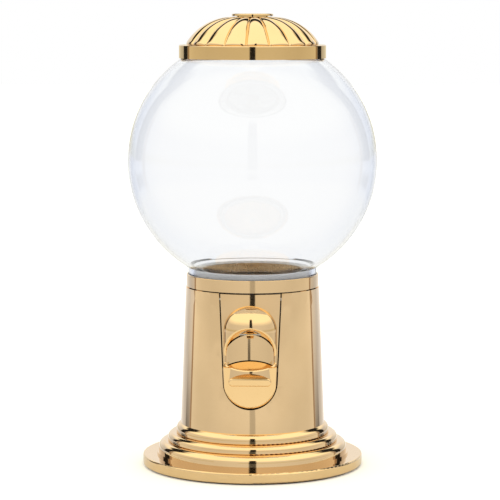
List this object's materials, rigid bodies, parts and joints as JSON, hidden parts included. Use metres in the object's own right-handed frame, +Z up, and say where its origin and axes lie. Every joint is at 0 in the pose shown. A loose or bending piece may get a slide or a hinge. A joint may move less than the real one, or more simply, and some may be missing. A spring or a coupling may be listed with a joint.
{
  "type": "gumball machine",
  "caption": "Table-top gumball machine: a clear glass globe with a fluted dome lid on a stepped round metal column, with a press lever, hood and candy spout in its front.",
  "frame": {"origin": "middle of the underside, on the surface the machine stands on", "axes": "+Z up, the lever and spout face -Y, +X to the viewer's right from the front"},
  "size_m": [0.1538, 0.1538, 0.28],
  "materials": {
    "polished_gold": "polished",
    "dull_brass": "lacquered, dull",
    "clear_glass": "clear",
    "white_silicone": "satin",
    "clear_silicone": "satin",
    "white_plastic": "moulded",
    "steel": "zinc plated",
    "dark_felt": "felt"
  },
  "bodies": {
    "root": {"base_column": "polished_gold", "bottom_cover": "steel", "bottom_cover_screws": "steel", "felt_pad": "dark_felt", "collar_ring": "polished_gold", "tie_screws": "steel", "neck_seal": "white_silicone", "globe": "clear_glass", "wheel_cup": "white_plastic", "hopper_ring": "dull_brass", "candy_chute": "white_plastic", "chute_screws": "steel", "lever_pin": "steel", "lever_spring": "steel"},
    "lever": {"press_lever": "polished_gold", "link_pin": "steel", "flap_pin": "steel"},
    "flap": {"flap_door": "polished_gold"},
    "link": {"push_link": "steel"},
    "wheel": {"candy_wheel": "white_plastic", "wheel_shaft": "steel", "hub_cap": "dull_brass", "crank_arm": "steel", "crank_pin": "steel", "shaft_clip": "steel"},
    "lid": {"lid_rim": "polished_gold", "lid_dome": "polished_gold", "lid_seal": "clear_silicone", "finial": "polished_gold", "finial_screw": "steel"}
  },
  "joints": [
    {"name": "lever_press", "type": "hinge", "parent": "root", "child": "lever", "pos_m": [0, -0.033, 0.1077], "axis": [1, 0, 0], "range_deg": [0, 11], "stiffness_Nm_per_rad": 0.6, "springref_deg": -11.46},
    {"name": "flap_swing", "type": "hinge", "parent": "lever", "child": "flap", "pos_m": [0, -0.043, 0.0874], "axis": [1, 0, 0], "range_deg": [-65, 0]},
    {"name": "link_tilt", "type": "hinge", "parent": "lever", "child": "link", "pos_m": [0.00845, -0.033, 0.0601], "axis": [1, 0, 0], "range_deg": [-11, 0]},
    {"name": "wheel_turn", "type": "hinge", "parent": "root", "child": "wheel", "pos_m": [0, 0, 0.1], "axis": [0, 0, 1], "range_deg": [0, 60]},
    {"name": "lid_lift", "type": "slide", "parent": "root", "child": "lid", "axis": [0, 0, 1], "range_m": [0, 0.04]}
  ],
  "couplings": [
    {"joint": "wheel_turn", "follows": "lever_press", "ratio": 5.4545},
    {"joint": "link_tilt", "follows": "lever_press", "ratio": -1}
  ]
}
